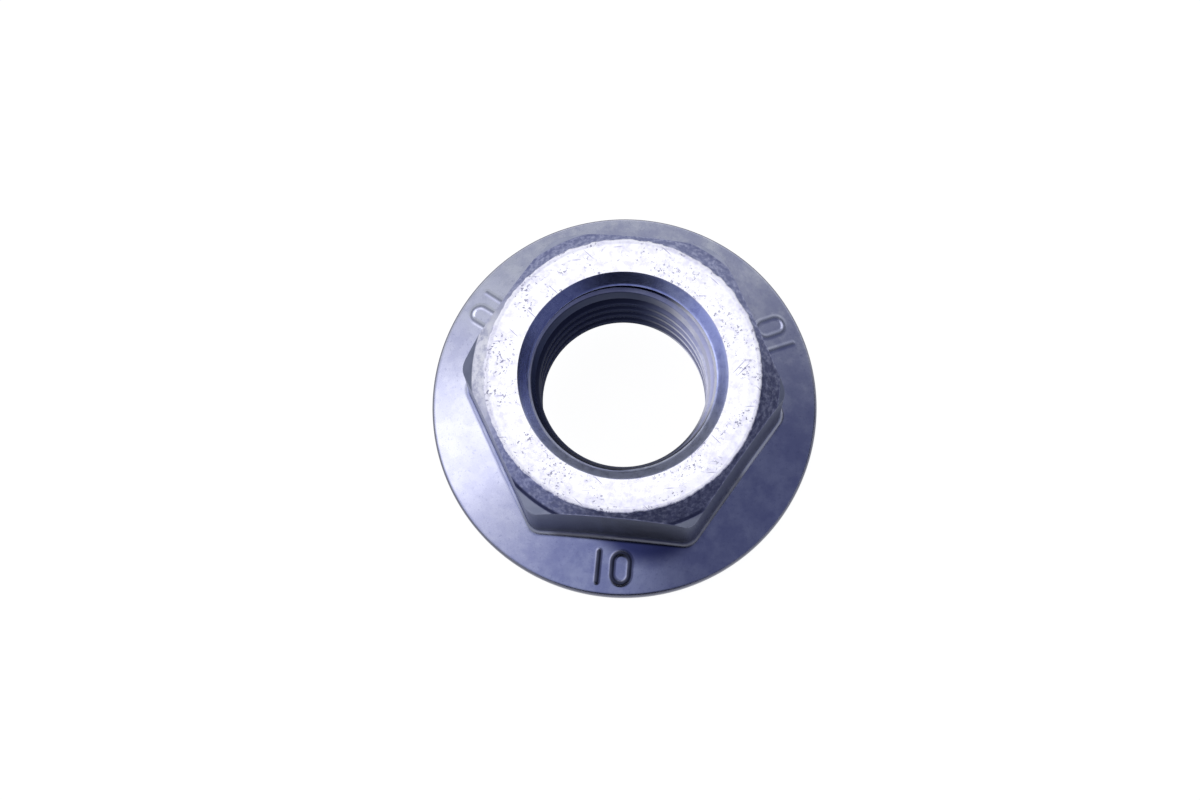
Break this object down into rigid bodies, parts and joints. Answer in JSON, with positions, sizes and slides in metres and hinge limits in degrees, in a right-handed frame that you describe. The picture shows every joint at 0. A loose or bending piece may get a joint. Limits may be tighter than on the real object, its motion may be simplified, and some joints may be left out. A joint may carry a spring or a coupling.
{
  "type": "hex flange nut",
  "caption": "Steel strut nut: a rounded hexagon forged in one piece with a conical flange, a countersunk threaded bore and raised strength numerals on the flange.",
  "frame": {"origin": "centre of the bearing face, on the bore axis", "axes": "+Z along the bore axis from the flange to the top of the hexagon; two opposite corners of the hexagon point along X and two flats face along Y"},
  "size_m": [0.0294, 0.0294, 0.0134],
  "materials": {
    "zinc_plated_steel": "zinc plated with a pale blue passivation, satin, with fine scratches and pits"
  },
  "bodies": {
    "root": {"nut": "zinc_plated_steel"}
  },
  "joints": []
}
